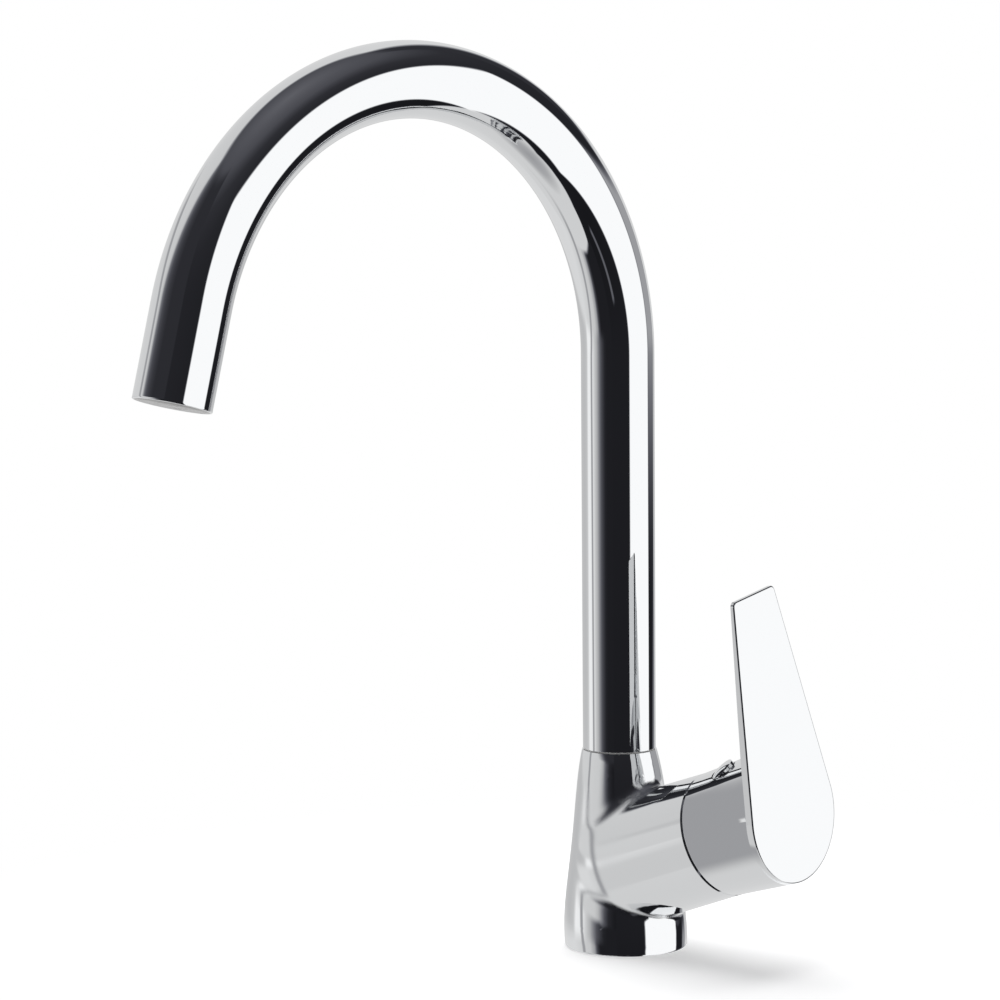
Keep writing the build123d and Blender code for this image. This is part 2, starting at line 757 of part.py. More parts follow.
with BuildPart() as guide_o_ring:
    wire = seal_wire(barrel_section, guide_neck_radius, neck_ring_radius, neck_ring_distance)
    revolve(wire, axis=barrel_axis)
save(guide_o_ring, "guide_o_ring")

with BuildPart() as stem_pin:
    with BuildSketch(pin_plane):
        Circle(pin_radius)
    extrude(amount=pin_length / 2, both=True)
save(stem_pin, "stem_pin")

with BuildPart() as cartridge_nut:
    nut_bore_radius = housing_neck_radius + nut_neck_play
    with BuildSketch(barrel_plane(housing_shoulder_top)):
        Circle(nut_radius)
        Circle(nut_bore_radius, mode=Mode.SUBTRACT)
    extrude(amount=nut_height)
    with BuildSketch(barrel_plane(nut_top)):
        with PolarLocations((nut_radius + nut_bore_radius) / 2, nut_slot_count):
            Rectangle(2 * (nut_radius - nut_bore_radius), nut_slot_width)
    extrude(amount=-nut_slot_depth, mode=Mode.SUBTRACT)
save(cartridge_nut, "cartridge_nut")

# The dome is part of a ball round the lever's pivot, so the hub turns and tilts over it.
with BuildPart() as dome_cover:
    dome_inner_radius = dome_ball_radius - dome_wall
    land_top = mouth_distance + dome_skirt_wall
    land_radius = ball_side(dome_inner_radius, land_top - pivot_distance)
    skirt_outer = nut_radius
    skirt_inner = skirt_outer - dome_skirt_wall
    skirt_end = mouth_distance - dome_skirt_length
    with BuildSketch(barrel_section):
        with BuildLine():
            outer_start = ball_angle(dome_ball_radius, barrel_mouth_radius)
            outer_end = ball_angle(dome_ball_radius, dome_opening_radius)
            outer = CenterArc((0, pivot_distance), dome_ball_radius, outer_start, outer_end - outer_start)
            inner_start = ball_angle(dome_inner_radius, land_radius)
            inner_end = ball_angle(dome_inner_radius, dome_opening_radius)
            inner = CenterArc((0, pivot_distance), dome_inner_radius, inner_start, inner_end - inner_start)
            Line(outer @ 1, inner @ 1)
            Polyline(
                inner @ 0,
                (skirt_inner, land_top),
                (skirt_inner, skirt_end),
                (skirt_outer, skirt_end),
                (skirt_outer, mouth_distance),
                outer @ 0,
            )
        make_face()
    revolve(axis=barrel_axis)
save(dome_cover, "dome_cover")

# ================================================================ the lever
with BuildPart() as lever_stem:
    with BuildSketch(stem_plane.offset(-stem_shoulder)):
        Rectangle(stem_width, stem_width)
    extrude(amount=stem_shoulder + boss_start)
    with BuildSketch(head_plane.offset(boss_start)):
        Rectangle(stem_width, stem_width)
    extrude(amount=stem_reach - boss_start)
    with BuildSketch(stem_plane.offset(-stem_arm)):
        Circle(stem_arm_radius)
    extrude(amount=stem_arm - stem_shoulder)
    with Locations(stem_plane.offset(-stem_arm)):
        Sphere(stem_ball_radius)
    with BuildSketch(pin_plane):
        Circle(pin_radius + pin_play)
    extrude(amount=stem_width, both=True, mode=Mode.SUBTRACT)
save(lever_stem, "lever_stem")

# The clamping screw stands square to the stem's turned head, under the plug on the hub's side.
screw_origin = head_plane.origin + head_plane.z_dir * lever_screw_reach
screw_plane = Plane(origin=screw_origin, x_dir=head_plane.x_dir, z_dir=head_plane.y_dir)
screw_axis = Axis(screw_origin, head_plane.y_dir)

# It meets the hub's cone where its distance from the barrel's axis has grown to the cone's radius.
screw_foot = screw_origin - barrel_origin
screw_foot_off_axis = screw_foot - barrel_out * screw_foot.dot(barrel_out)
cone_radius_there = barrel_mouth_radius + hub_flare * (screw_foot.dot(barrel_out) - seam_distance)
screw_along = head_plane.y_dir.dot(barrel_out)
screw_across = head_plane.y_dir - barrel_out * screw_along
cone_growth = hub_flare * screw_along
meet_square = screw_across.dot(screw_across) - cone_growth**2
meet_slope = screw_foot_off_axis.dot(screw_across) - cone_radius_there * cone_growth
meet_rest = screw_foot_off_axis.dot(screw_foot_off_axis) - cone_radius_there**2
hub_top_reach = (sqrt(meet_slope**2 - meet_square * meet_rest) - meet_slope) / meet_square
plug_seat_reach = hub_top_reach - plug_seat_depth

# The plate's own plane: x to the side, y up the blade, z out of its front face.
plate_plane = leaned(barrel_plane(plate_distance, lever_rest_turn), -plate_rake)
plate_side_plane = Plane(origin=plate_plane.origin, x_dir=plate_plane.y_dir, z_dir=plate_plane.x_dir)
blade_half_width = blade_top_width / 2
blade_top = blade_height - plate_drop

# The hub's outer form: a cone that the plate closes.
with BuildPart() as hub_form:
    hub_end = plate_distance + plate_radius
    hub_end_radius = barrel_mouth_radius + hub_flare * (hub_end - seam_distance)
    hub_outline = outline(
        barrel_section,
        (0, seam_distance),
        (barrel_mouth_radius, seam_distance),
        (hub_end_radius, hub_end),
        (0, hub_end),
    )
    revolve(hub_outline, axis=barrel_axis)
    split(bisect_by=plate_plane.offset(plate_overlap - plate_thickness), keep=Keep.BOTTOM)

# The space inside the hub: a ball round the pivot and a chamber, round the stem's and screw's bosses.
with BuildPart() as hub_space:
    with Locations(pivot_plane):
        Sphere(hub_ball_radius)
    with BuildSketch(pivot_plane):
        Circle(barrel_mouth_radius - hub_wall)
    extrude(amount=plate_distance)
    split(bisect_by=plate_plane.offset(-hub_front_wall), keep=Keep.BOTTOM)
    with BuildSketch(stem_plane.offset(boss_start)):
        Circle(boss_radius)
    extrude(amount=plate_distance, mode=Mode.SUBTRACT)
    with BuildSketch(screw_plane):
        Circle(lever_screw_radius + lever_screw_wall)
    extrude(amount=hub_top_reach, mode=Mode.SUBTRACT)

with BuildPart() as lever_handle:
    # The plate: a round hub end that runs straight up into the blade.
    with BuildSketch(plate_plane):
        with BuildLine():
            side_angle = touch_angle(plate_radius, blade_half_width, blade_height)
            lower_arc = CenterArc((0, -plate_drop), plate_radius, 180 - side_angle, 180 + 2 * side_angle)
            Polyline(
                lower_arc @ 1,
                (blade_half_width, blade_top),
                (-blade_half_width, blade_top),
                lower_arc @ 0,
            )
        make_face()
        fillet(vertices().group_by(Axis.Y)[-1], blade_corner_radius)
    extrude(amount=-plate_thickness)
    # Seen from the side it thins out from the hub to the tip.
    wedge_outline = outline(
        plate_side_plane,
        (-2 * plate_radius, 0),
        (blade_top, 0),
        (blade_top, -blade_tip_thickness),
        (plate_radius, -plate_thickness),
        (-2 * plate_radius, -plate_thickness),
    )
    extrude(wedge_outline, amount=2 * plate_radius, both=True, mode=Mode.INTERSECT)
    plate_axis = Axis(plate_plane.origin, plate_plane.z_dir)
    fillet(lever_handle.faces().sort_by(plate_axis)[-1].edges(), plate_edge_round)
    add(hub_form.part)
    rear_edges = lever_handle.faces().sort_by(barrel_axis)[0].edges()
    fillet(rear_edges, seam_edge_round)
    add(hub_space.part, mode=Mode.SUBTRACT)
    # The stem's square socket, the screw's thread and the plug's seat.
    with BuildSketch(head_plane.offset(boss_start)):
        Rectangle(stem_width, stem_width)
    extrude(amount=stem_reach - boss_start, mode=Mode.SUBTRACT)
    with BuildSketch(screw_plane):
        Circle(lever_screw_radius)
    extrude(amount=hub_top_reach, mode=Mode.SUBTRACT)
    with BuildSketch(screw_plane.offset(plug_seat_reach)):
        Circle(plug_seat_radius)
    extrude(amount=2 * plug_seat_depth, mode=Mode.SUBTRACT)
save(lever_handle, "lever_handle")

with BuildPart() as lever_grub_screw:
    screw_end = stem_width / 2 + lever_screw_length
    with BuildSketch(screw_plane.offset(stem_width / 2)):
        Circle(lever_screw_radius)
    extrude(amount=lever_screw_length)
    with BuildSketch(screw_plane.offset(screw_end)):
        RegularPolygon(lever_socket_radius, 6)
    extrude(amount=-lever_socket_depth, mode=Mode.SUBTRACT)
save(lever_grub_screw, "lever_grub_screw")

with BuildPart() as indicator_plug:
    plug_edge = plug_seat_reach + plug_thickness
    plug_ball_radius = (plug_radius**2 + plug_dome_height**2) / (2 * plug_dome_height)
    plug_ball_centre = plug_edge + plug_dome_height - plug_ball_radius
    with BuildSketch(section_plane(screw_origin, head_plane.x_dir, head_plane.y_dir)):
        with BuildLine():
            dome_angle = degrees(asin(plug_radius / plug_ball_radius))
            crown = CenterArc((0, plug_ball_centre), plug_ball_radius, 90 - dome_angle, dome_angle)
            Polyline(crown @ 1, (0, plug_seat_reach), (plug_radius, plug_seat_reach), crown @ 0)
        make_face()
    revolve(axis=screw_axis)
save(indicator_plug, "indicator_plug")
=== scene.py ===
# %% [markdown]
# # A three way kitchen tap in chrome
#
# This lesson dresses a finished CAD model of a kitchen tap. The CAD gives every part its place, in metres,
# with +Z up and the origin under the middle of the foot. Blender gives the parts their surfaces, and bends
# the spout's tube again in a finer mesh, because the longest reflections run along it. A mirror hides
# nothing: a facet that no one would see in plastic shows at once in chrome, because it breaks the line of
# a reflection.

import math

import bmesh
import bpy
from mathutils import Matrix, Vector


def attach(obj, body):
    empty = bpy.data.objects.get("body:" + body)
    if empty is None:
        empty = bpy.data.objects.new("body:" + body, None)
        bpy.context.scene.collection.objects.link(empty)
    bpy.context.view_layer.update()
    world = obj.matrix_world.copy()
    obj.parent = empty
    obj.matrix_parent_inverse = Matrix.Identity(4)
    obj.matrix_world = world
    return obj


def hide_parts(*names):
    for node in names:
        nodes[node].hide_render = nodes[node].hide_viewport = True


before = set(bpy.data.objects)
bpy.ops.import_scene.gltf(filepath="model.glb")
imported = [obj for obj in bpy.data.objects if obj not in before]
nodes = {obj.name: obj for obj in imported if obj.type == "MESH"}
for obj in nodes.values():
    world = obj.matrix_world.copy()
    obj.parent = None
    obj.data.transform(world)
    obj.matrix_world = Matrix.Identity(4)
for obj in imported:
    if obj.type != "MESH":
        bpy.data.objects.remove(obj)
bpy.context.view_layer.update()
print("nodes:", len(nodes))

# %% [markdown]
# ## The camera
#
# The photograph looks at the tap from the right and a little from above, with a long lens, so that the
# tube hardly narrows with distance. A camera can be pointed at its subject with a constraint, but then the
# small lean of the picture is lost. So it gets its place and three turns. A camera in Blender looks along
# its own -Z: it is tipped up from looking at the floor, turned to its heading, and rolled by half a degree.

# %% Camera
photo_width = 1000.0
focal_pixels = 3649.8
sensor_width = 36.0
camera_place = Vector((0.9079, -1.0446, 0.3203))
camera_heading = math.radians(42.955)
camera_pitch = math.radians(-6.091)
camera_roll = math.radians(-0.453)

camera_data = bpy.data.cameras.new("camera")
camera_data.sensor_width = sensor_width
camera_data.lens = focal_pixels * sensor_width / photo_width
camera = bpy.data.objects.new("camera", camera_data)
bpy.context.scene.collection.objects.link(camera)
turn = Matrix.Rotation(camera_heading, 4, "Z")
tip = Matrix.Rotation(math.pi / 2 + camera_pitch, 4, "X")
roll = Matrix.Rotation(camera_roll, 4, "Z")
camera.matrix_world = Matrix.Translation(camera_place) @ turn @ tip @ roll
bpy.context.scene.camera = camera
print("lens in mm:", round(camera_data.lens, 1))
print("looking along:", [round(part, 3) for part in camera.matrix_world.to_3x3() @ Vector((0, 0, -1))])

# %% [markdown]
# ## Small helpers for shader nodes
#
# Every material and the studio's light are graphs of nodes. They could be wired one by one, but short
# functions keep the cells below readable. One fills a socket, one adds a node with its sockets filled, and
# one does arithmetic.

# %% Nodes and arithmetic
def fill_socket(tree, socket, value):
    """Links a value to a socket if it is an output, and writes it there if it is a number or colour."""
    if isinstance(value, bpy.types.NodeSocket):
        tree.links.new(value, socket)
    else:
        socket.default_value = value


def add_node(tree, kind, **values):
    """A new node. A value is a number or colour for the socket of that name, or another node's output."""
    node = tree.nodes.new(kind)
    for name, value in values.items():
        fill_socket(tree, node.inputs[name.replace("_", " ")], value)
    return node


def calculate(tree, operation, first, second=0.0):
    """Arithmetic on sockets and numbers."""
    node = tree.nodes.new("ShaderNodeMath")
    node.operation = operation
    fill_socket(tree, node.inputs[0], first)
    fill_socket(tree, node.inputs[1], second)
    return node.outputs[0]


print("helpers:", ", ".join(helper.__name__ for helper in (fill_socket, add_node, calculate)))

# %% [markdown]
# Light and finishes change softly from one value to the next. A soft step is a Map Range node set to
# smooth, two of them multiplied make a band, and a Color Ramp node gives a value with many stops.

# %% Steps, bands and ramps
def soft_step(tree, value, start, end):
    """0 below start and 1 above end, with a soft change between them. An end below start turns it round."""
    low, high = min(start, end), max(start, end)
    node = add_node(tree, "ShaderNodeMapRange", Value=value, From_Min=low, From_Max=high,
                    To_Min=0.0 if start < end else 1.0, To_Max=1.0 if start < end else 0.0)
    node.interpolation_type = "SMOOTHSTEP"
    return node.outputs["Result"]


def soft_band(tree, value, rising, falling):
    """1 between two soft steps, and 0 outside them. Each step is a pair of start and end."""
    return calculate(tree, "MULTIPLY", soft_step(tree, value, *rising), soft_step(tree, value, *falling))


def mixed(tree, share, first, second):
    """first where share is 0 and second where it is 1, for numbers."""
    return add_node(tree, "ShaderNodeMix", Factor=share, A=first, B=second).outputs["Result"]


def ramp(tree, value, low, high, stops):
    """A brightness that follows a value from low to high through stops of (value, brightness)."""
    scaled = calculate(tree, "DIVIDE", calculate(tree, "SUBTRACT", value, low), high - low)
    node = add_node(tree, "ShaderNodeValToRGB", Fac=scaled)
    elements = node.color_ramp.elements
    for element, (place, brightness) in ((elements[0], stops[0]), (elements[1], stops[-1])):
        element.position = (place - low) / (high - low)
        element.color = (brightness, brightness, brightness, 1.0)
    for place, brightness in stops[1:-1]:
        element = elements.new((place - low) / (high - low))
        element.color = (brightness, brightness, brightness, 1.0)
    return node.outputs["Color"]


print("helpers:", ", ".join(helper.__name__ for helper in (soft_step, soft_band, mixed, ramp)))

# %% [markdown]
# ## The studio
#
# Chrome has no colour of its own: what shows on it is the room. A photographer lights such a tap with one
# large soft box on the right, lets the left side fade from a pale backdrop, and leaves the side of the
# camera dark, so that the tube gets its dark band between two light ones. The room could be built from
# glowing panels. Here it is painted on the world instead, as brightness against two angles: the heading
# round the tap, counted from +X, and the rise above the horizon. The camera itself sees plain white.

# %% Direction of a ray in the world
world = bpy.data.worlds.new("studio")
bpy.context.scene.world = world
world.use_nodes = True
sky = world.node_tree
sky.nodes.clear()
direction = add_node(sky, "ShaderNodeTexCoord").outputs["Generated"]
parts = add_node(sky, "ShaderNodeSeparateXYZ", Vector=direction).outputs
degree = math.pi / 180
full_turn = 360.0
heading = calculate(sky, "DIVIDE", calculate(sky, "ARCTAN2", parts["Y"], parts["X"]), degree)
rise = calculate(sky, "DIVIDE", calculate(sky, "ARCSINE", parts["Z"]), degree)
clockwise = calculate(sky, "MODULO", calculate(sky, "SUBTRACT", full_turn, heading), full_turn)
print("nodes that turn a direction into angles:", len(sky.nodes))

# %% [markdown]
# The side of the camera is dark from the floor to the ceiling. The backdrop on the left is painted in four
# storeys, because the tap sees it over a table, past the camera's dark side and under a ceiling. One ramp
# would be simpler, but each part of the tap looks at another height and shows another fade. So each storey
# is a ramp of brightness of its own, against the heading, counted clockwise.

# %% Dark side and storeys of the backdrop
dark_side = ramp(sky, rise, -90.0, 90.0, (
    (-90.0, 0.13), (-45.0, 0.12), (0.0, 0.14), (30.0, 0.17), (45.0, 0.20), (60.0, 0.30), (90.0, 0.38)))
under_barrel = ramp(sky, clockwise, 0.0, full_turn, (
    (98.0, 0.14), (105.0, 0.30), (110.0, 0.60), (120.0, 0.77), (135.0, 0.79), (160.0, 0.84),
    (262.0, 0.80), (268.0, 0.17)))
behind_tube = ramp(sky, clockwise, 0.0, full_turn, (
    (83.0, 0.14), (90.0, 0.16), (97.0, 0.24), (104.0, 0.33), (111.0, 0.50), (118.0, 0.67), (127.0, 0.78),
    (135.0, 0.88), (144.0, 0.92), (156.0, 0.93), (164.0, 0.75), (178.0, 0.72), (262.0, 0.72), (268.0, 0.17)))
behind_column = ramp(sky, clockwise, 0.0, full_turn, (
    (68.0, 0.13), (80.0, 0.18), (88.0, 0.32), (92.0, 0.45), (97.0, 0.62), (102.0, 0.72), (109.0, 0.78),
    (140.0, 0.80), (262.0, 0.80), (268.0, 0.17)))
high_backdrop = ramp(sky, clockwise, 0.0, full_turn, (
    (104.0, 0.19), (118.0, 0.24), (128.0, 0.30), (137.0, 0.44), (143.0, 0.72), (148.0, 0.78), (185.0, 0.79),
    (240.0, 0.82), (250.0, 0.20)))
print("nodes with the storeys:", len(sky.nodes))

# %% [markdown]
# The storeys are stacked from below. Hard joints would show as lines across the tap, so each storey runs
# softly into the next, and the whole backdrop softly into the dark side at its left, right and top.

# %% Backdrop
tube_storey_starts = (-15.0, -8.5)
column_storey_starts = (-4.5, -1.5)
high_storey_starts = (12.0, 17.0)
backdrop_left = (64.0, 68.0)
backdrop_right = (270.0, 264.0)
backdrop_top = (62.0, 54.0)

backdrop = mixed(sky, soft_step(sky, rise, *tube_storey_starts), under_barrel, behind_tube)
backdrop = mixed(sky, soft_step(sky, rise, *column_storey_starts), backdrop, behind_column)
backdrop = mixed(sky, soft_step(sky, rise, *high_storey_starts), backdrop, high_backdrop)
backdrop_here = calculate(sky, "MULTIPLY", soft_band(sky, clockwise, backdrop_left, backdrop_right),
                          soft_step(sky, rise, *backdrop_top))
room = mixed(sky, backdrop_here, dark_side, backdrop)
print("backdrop from", backdrop_left[1], "to", backdrop_right[1], "degrees clockwise")

# %% [markdown]
# Smaller things in the room leave their marks too: a grey card and a dim glow beside the soft box, and a
# slit of light on the dark side. They could be small glowing planes, which would have to be hidden from the
# camera. Here each is a window of headings and rises with soft edges, laid over what is there already, the
# way a card is put up in front of a backdrop.

# %% Cards
def window(left, right, bottom, top, edge):
    """1 inside a window of headings and rises, with soft edges."""
    sides = soft_band(sky, heading, (left - edge, left + edge), (right + edge, right - edge))
    ends = soft_band(sky, rise, (bottom - edge, bottom + edge), (top + edge, top - edge))
    return calculate(sky, "MULTIPLY", sides, ends)


cards = (
    ("grey card", (61.0, 95.0, -5.0, 12.0, 3.0), 0.60),
    ("dim glow", (83.0, 97.0, -46.0, -9.0, 3.0), 0.55),
    ("slit of light", (-48.0, -42.0, -46.0, -20.0, 1.5), 0.38),
)
for card_name, card_window, card_brightness in cards:
    room = mixed(sky, window(*card_window), room, card_brightness)
    print(card_name, "in window", card_window, "at brightness", card_brightness)

# %% [markdown]
# The pale table top hides the lower part of the room. Its edge is the line where the foot's reflection
# turns light, and it lies lower towards the camera and the soft box. A window has straight edges only, so
# the rise of this edge follows a ramp of its own, as a share of the way from straight down to the horizon.

# %% Table
straight_down = 90.0
table_edge_softness = 1.5
table_edge_share = ramp(sky, clockwise, 0.0, full_turn, (
    (0.0, 0.20), (30.0, 0.24), (60.0, 0.33), (75.0, 0.47), (95.0, 0.50), (110.0, 0.50), (265.0, 0.50),
    (359.0, 0.20)))
table_edge = calculate(sky, "SUBTRACT", calculate(sky, "MULTIPLY", table_edge_share, straight_down),
                       straight_down)
above_table = calculate(sky, "SUBTRACT", rise, table_edge)
table_light = ramp(sky, rise, -90.0, 0.0, ((-90.0, 0.60), (-80.0, 0.65), (-70.0, 0.80), (0.0, 0.82)))
on_table = soft_step(sky, above_table, table_edge_softness, -table_edge_softness)
room = mixed(sky, on_table, room, table_light)
print("nodes with the table:", len(sky.nodes))

# %% [markdown]
# A grey bow on the backdrop dulls the lever's hub. The hub is a cone round the barrel's direction, so what
# it shows lies near one circle of directions round that line. A window wide enough for it would dull much
# of the tube too. The bow follows the circle instead, which is why it is painted by the share of a
# direction that points along the barrel, and only its ends are set by heading and rise.

# %% Grey bow
barrel_tilt = math.radians(20.0)
bow_outside, bow_inside = (-0.800, -0.760), (-0.690, -0.718)
bow_start, bow_end = (124.0, 130.0), (196.0, 178.0)
bow_bottom, bow_top = (-64.0, -46.0), (40.0, 30.0)
bow_brightness = 0.605

along_barrel = calculate(sky, "ADD", calculate(sky, "MULTIPLY", parts["X"], math.cos(barrel_tilt)),
                         calculate(sky, "MULTIPLY", parts["Z"], math.sin(barrel_tilt)))
bow = soft_band(sky, along_barrel, bow_outside, bow_inside)
bow_length = soft_band(sky, clockwise, bow_start, bow_end)
bow_height = soft_band(sky, rise, bow_bottom, bow_top)
grey_bow = calculate(sky, "MULTIPLY", bow, calculate(sky, "MULTIPLY", bow_length, bow_height))
room = mixed(sky, grey_bow, room, bow_brightness)
print("grey bow from", bow_start[1], "to", bow_end[1], "degrees clockwise")

# %% [markdown]
# The soft box is the brightest thing in the room. It gives the tube its white band and the lever's blade
# its even white. A glowing panel would do it too, but painted as one more window it is set in degrees like
# all the rest. It is laid over them, since it stands nearest to the tap.

# %% Soft box
soft_box_window = (-12.0, 60.0, -57.0, 29.0, 2.0)
soft_box_brightness = 0.985
room = mixed(sky, window(*soft_box_window), room, soft_box_brightness)
print("soft box in window", soft_box_window)

# %% [markdown]
# The values above are brightness as the picture shows it, because that is what the eye can compare. Light
# adds up in linear values, so they are raised to the display's power, and divided by what chrome gives
# back. The dark parts of the room are a little cool, as in the photograph.

# %% From shown brightness to light
display_power = 2.2
chrome_share = 0.82
shade_tint = (0.94, 0.95, 1.15, 1.0)
plain_tint = (1.0, 1.0, 1.0, 1.0)
tint_fades = (0.05, 0.80)

room_light = calculate(sky, "DIVIDE", calculate(sky, "POWER", room, display_power), chrome_share)
seen_by_camera = add_node(sky, "ShaderNodeLightPath").outputs["Is Camera Ray"]
shown_light = mixed(sky, seen_by_camera, room_light, 1.0)
untinted = calculate(sky, "MAXIMUM", soft_step(sky, room, *tint_fades), seen_by_camera)
tint = sky.nodes.new("ShaderNodeMix")
tint.data_type = "RGBA"
fill_socket(sky, tint.inputs["Factor"], untinted)
colours = [socket for socket in tint.inputs if socket.type == "RGBA"]
for socket, colour in zip(colours, (shade_tint, plain_tint)):
    socket.default_value = colour
tinted = next(socket for socket in tint.outputs if socket.type == "RGBA")
background = add_node(sky, "ShaderNodeBackground", Color=tinted, Strength=shown_light)
add_node(sky, "ShaderNodeOutputWorld", Surface=background.outputs["Background"])
print("nodes in the world:", len(sky.nodes))

# %% [markdown]
# ## The floor
#
# The floor is a white sheet. A shadow catcher would need a second pass to lay the shadow over white. So
# the sheet does it by itself: near the tap the camera sees its soft shadow, and further out it turns into
# the same white as the backdrop. Chrome looks through the sheet at the painted room, where the table is.

# %% Floor's sheet
floor_half_size = 4.0
floor_mesh = bpy.data.meshes.new("floor")
floor_form = bmesh.new()
bmesh.ops.create_grid(floor_form, x_segments=1, y_segments=1, size=floor_half_size)
floor_form.to_mesh(floor_mesh)
floor_form.free()
floor = bpy.data.objects.new("floor", floor_mesh)
bpy.context.scene.collection.objects.link(floor)
print("floor:", 2 * floor_half_size, "m wide")

# %% [markdown]
# Where a point lies decides how it looks: on the sheet by its distance from the tap, and on the metal by
# its place on the part. That takes the place of the point and arithmetic on vectors. A third helper lays
# one shader over another.

# %% Helpers for places and shaders
def object_place(tree):
    """The place of the shaded point in the object's own space."""
    return add_node(tree, "ShaderNodeTexCoord").outputs["Object"]


def calculate_vector(tree, operation, first, second=(0.0, 0.0, 0.0)):
    """Arithmetic on vectors. Gives the node's outputs, Vector and Value."""
    node = tree.nodes.new("ShaderNodeVectorMath")
    node.operation = operation
    fill_socket(tree, node.inputs[0], first)
    fill_socket(tree, node.inputs[1], second)
    return node.outputs


def shader_mix(tree, share, first, second):
    """first where share is 0 and second where it is 1, for shaders."""
    node = tree.nodes.new("ShaderNodeMixShader")
    for socket, value in zip(node.inputs, (share, first, second)):
        fill_socket(tree, socket, value)
    return node.outputs["Shader"]


print("helpers:", ", ".join(helper.__name__ for helper in (object_place, calculate_vector, shader_mix)))

# %% [markdown]
# The paper is plain diffuse white, with a glow that only the camera sees. The lamp by itself would leave
# the sheet grey and its shadow dark, and a brighter lamp would bleach the plain parts.

# %% Floor's material
floor_white = 0.82
floor_glow = 0.42
shadow_reach = (0.13, 0.30)

floor_material = bpy.data.materials.new("white_sheet")
floor_material.use_nodes = True
sheet = floor_material.node_tree
sheet.nodes.clear()
from_tap = calculate_vector(sheet, "LENGTH", object_place(sheet))["Value"]
ray = add_node(sheet, "ShaderNodeLightPath").outputs
far_away = soft_step(sheet, from_tap, *shadow_reach)
white_for_camera = calculate(sheet, "MULTIPLY", far_away, ray["Is Camera Ray"])
white_paper = add_node(sheet, "ShaderNodeBsdfDiffuse", Color=(floor_white, floor_white, floor_white, 1.0))
glow_strength = calculate(sheet, "MULTIPLY", floor_glow, ray["Is Camera Ray"])
glow = add_node(sheet, "ShaderNodeEmission", Strength=glow_strength)
paper = sheet.nodes.new("ShaderNodeAddShader")
sheet.links.new(white_paper.outputs["BSDF"], paper.inputs[0])
sheet.links.new(glow.outputs["Emission"], paper.inputs[1])
plain_white = add_node(sheet, "ShaderNodeEmission", Strength=1.0)
seen_sheet = shader_mix(sheet, white_for_camera, paper.outputs["Shader"], plain_white.outputs["Emission"])
clear = add_node(sheet, "ShaderNodeBsdfTransparent")
whole_sheet = shader_mix(sheet, ray["Is Glossy Ray"], seen_sheet, clear.outputs["BSDF"])
add_node(sheet, "ShaderNodeOutputMaterial", Surface=whole_sheet)
floor.data.materials.append(floor_material)
print("shadow fades", shadow_reach[0], "to", shadow_reach[1], "m from the tap")

# %% [markdown]
# ## The lamp
#
# A large lamp above lights the sheet and the plain parts, and casts the soft shadow. A sun or a spot would
# draw a hard one. It is kept out of the mirror, where its square would show as a patch that the photograph
# doesn't have.

# %% Lamp
lamp_place = (-0.3, 0.2, 1.6)
lamp_size = 1.8
lamp_watts = 26.0
lamp_data = bpy.data.lights.new("overhead", "AREA")
lamp_data.shape = "SQUARE"
lamp_data.size = lamp_size
lamp_data.energy = lamp_watts
lamp = bpy.data.objects.new("overhead", lamp_data)
lamp.location = lamp_place
lamp.visible_glossy = False
bpy.context.scene.collection.objects.link(lamp)
bpy.context.scene.view_settings.view_transform = "Standard"
print("lamp:", lamp_size, "m wide at", lamp_place)

# %% [markdown]
# ## Finishes
#
# Each finish is a Principled shader whose base values stand on its own sockets, with a little procedural
# detail that only a close look shows: bump for the texture of the surface, a slow change of roughness,
# and where the real material has it, a slight change of colour. Picture textures would need a mapping on
# every part. Noise in the object's own space needs none, and goes along when a part moves.

# %% Helpers for finishes
noise_low, noise_high = 0.3, 0.7


def new_finish(name, colour, metallic, roughness):
    """A material with its Principled shader filled in. Gives material, node tree and shader."""
    material = bpy.data.materials.new(name)
    material.use_nodes = True
    tree = material.node_tree
    shader = next(node for node in tree.nodes if node.type == "BSDF_PRINCIPLED")
    shader.inputs["Base Color"].default_value = (*colour, 1.0)
    shader.inputs["Metallic"].default_value = metallic
    shader.inputs["Roughness"].default_value = roughness
    return material, tree, shader


def grain(tree, scale, detail, stretch=(1.0, 1.0, 1.0)):
    """Noise in the object's own space, with so many grains to the metre, as a value around 0.5."""
    mapping = add_node(tree, "ShaderNodeMapping", Vector=object_place(tree), Scale=stretch)
    return add_node(tree, "ShaderNodeTexNoise", Vector=mapping.outputs["Vector"], Scale=scale,
                    Detail=detail).outputs["Fac"]


def roughness_between(tree, shader, value, smooth, rough):
    """Lets the roughness follow a value, as a noise, between two limits."""
    node = add_node(tree, "ShaderNodeMapRange", Value=value, From_Min=noise_low, From_Max=noise_high,
                    To_Min=smooth, To_Max=rough)
    tree.links.new(node.outputs["Result"], shader.inputs["Roughness"])


def colour_between(tree, shader, value, dark, light):
    """Lets the colour follow a value, as a noise, between two tones."""
    node = add_node(tree, "ShaderNodeValToRGB", Fac=value)
    for element, place, tone in zip(node.color_ramp.elements, (noise_low, noise_high), (dark, light)):
        element.position = place
        element.color = (*tone, 1.0)
    tree.links.new(node.outputs["Color"], shader.inputs["Base Color"])


def raise_bumps(tree, shader, height, depth):
    """Bumps of a depth in metres. Gives the node."""
    bump = add_node(tree, "ShaderNodeBump", Height=height, Distance=depth, Strength=1.0)
    tree.links.new(bump.outputs["Normal"], shader.inputs["Normal"])
    return bump


print("helpers:", ", ".join(helper.__name__ for helper in (
    new_finish, grain, roughness_between, colour_between, raise_bumps)))

# %% [markdown]
# Chrome is a plated layer a few thousandths of a millimetre thick, so it shows the surface under it. A
# casting is polished by hand and keeps wide, faint waves. A drawn tube is straighter. Both carry a haze of
# wiping marks, which is a small, slow change of roughness. A perfect mirror would look drawn by computer.

# %% Chrome
chrome_colour = (0.80, 0.81, 0.82)


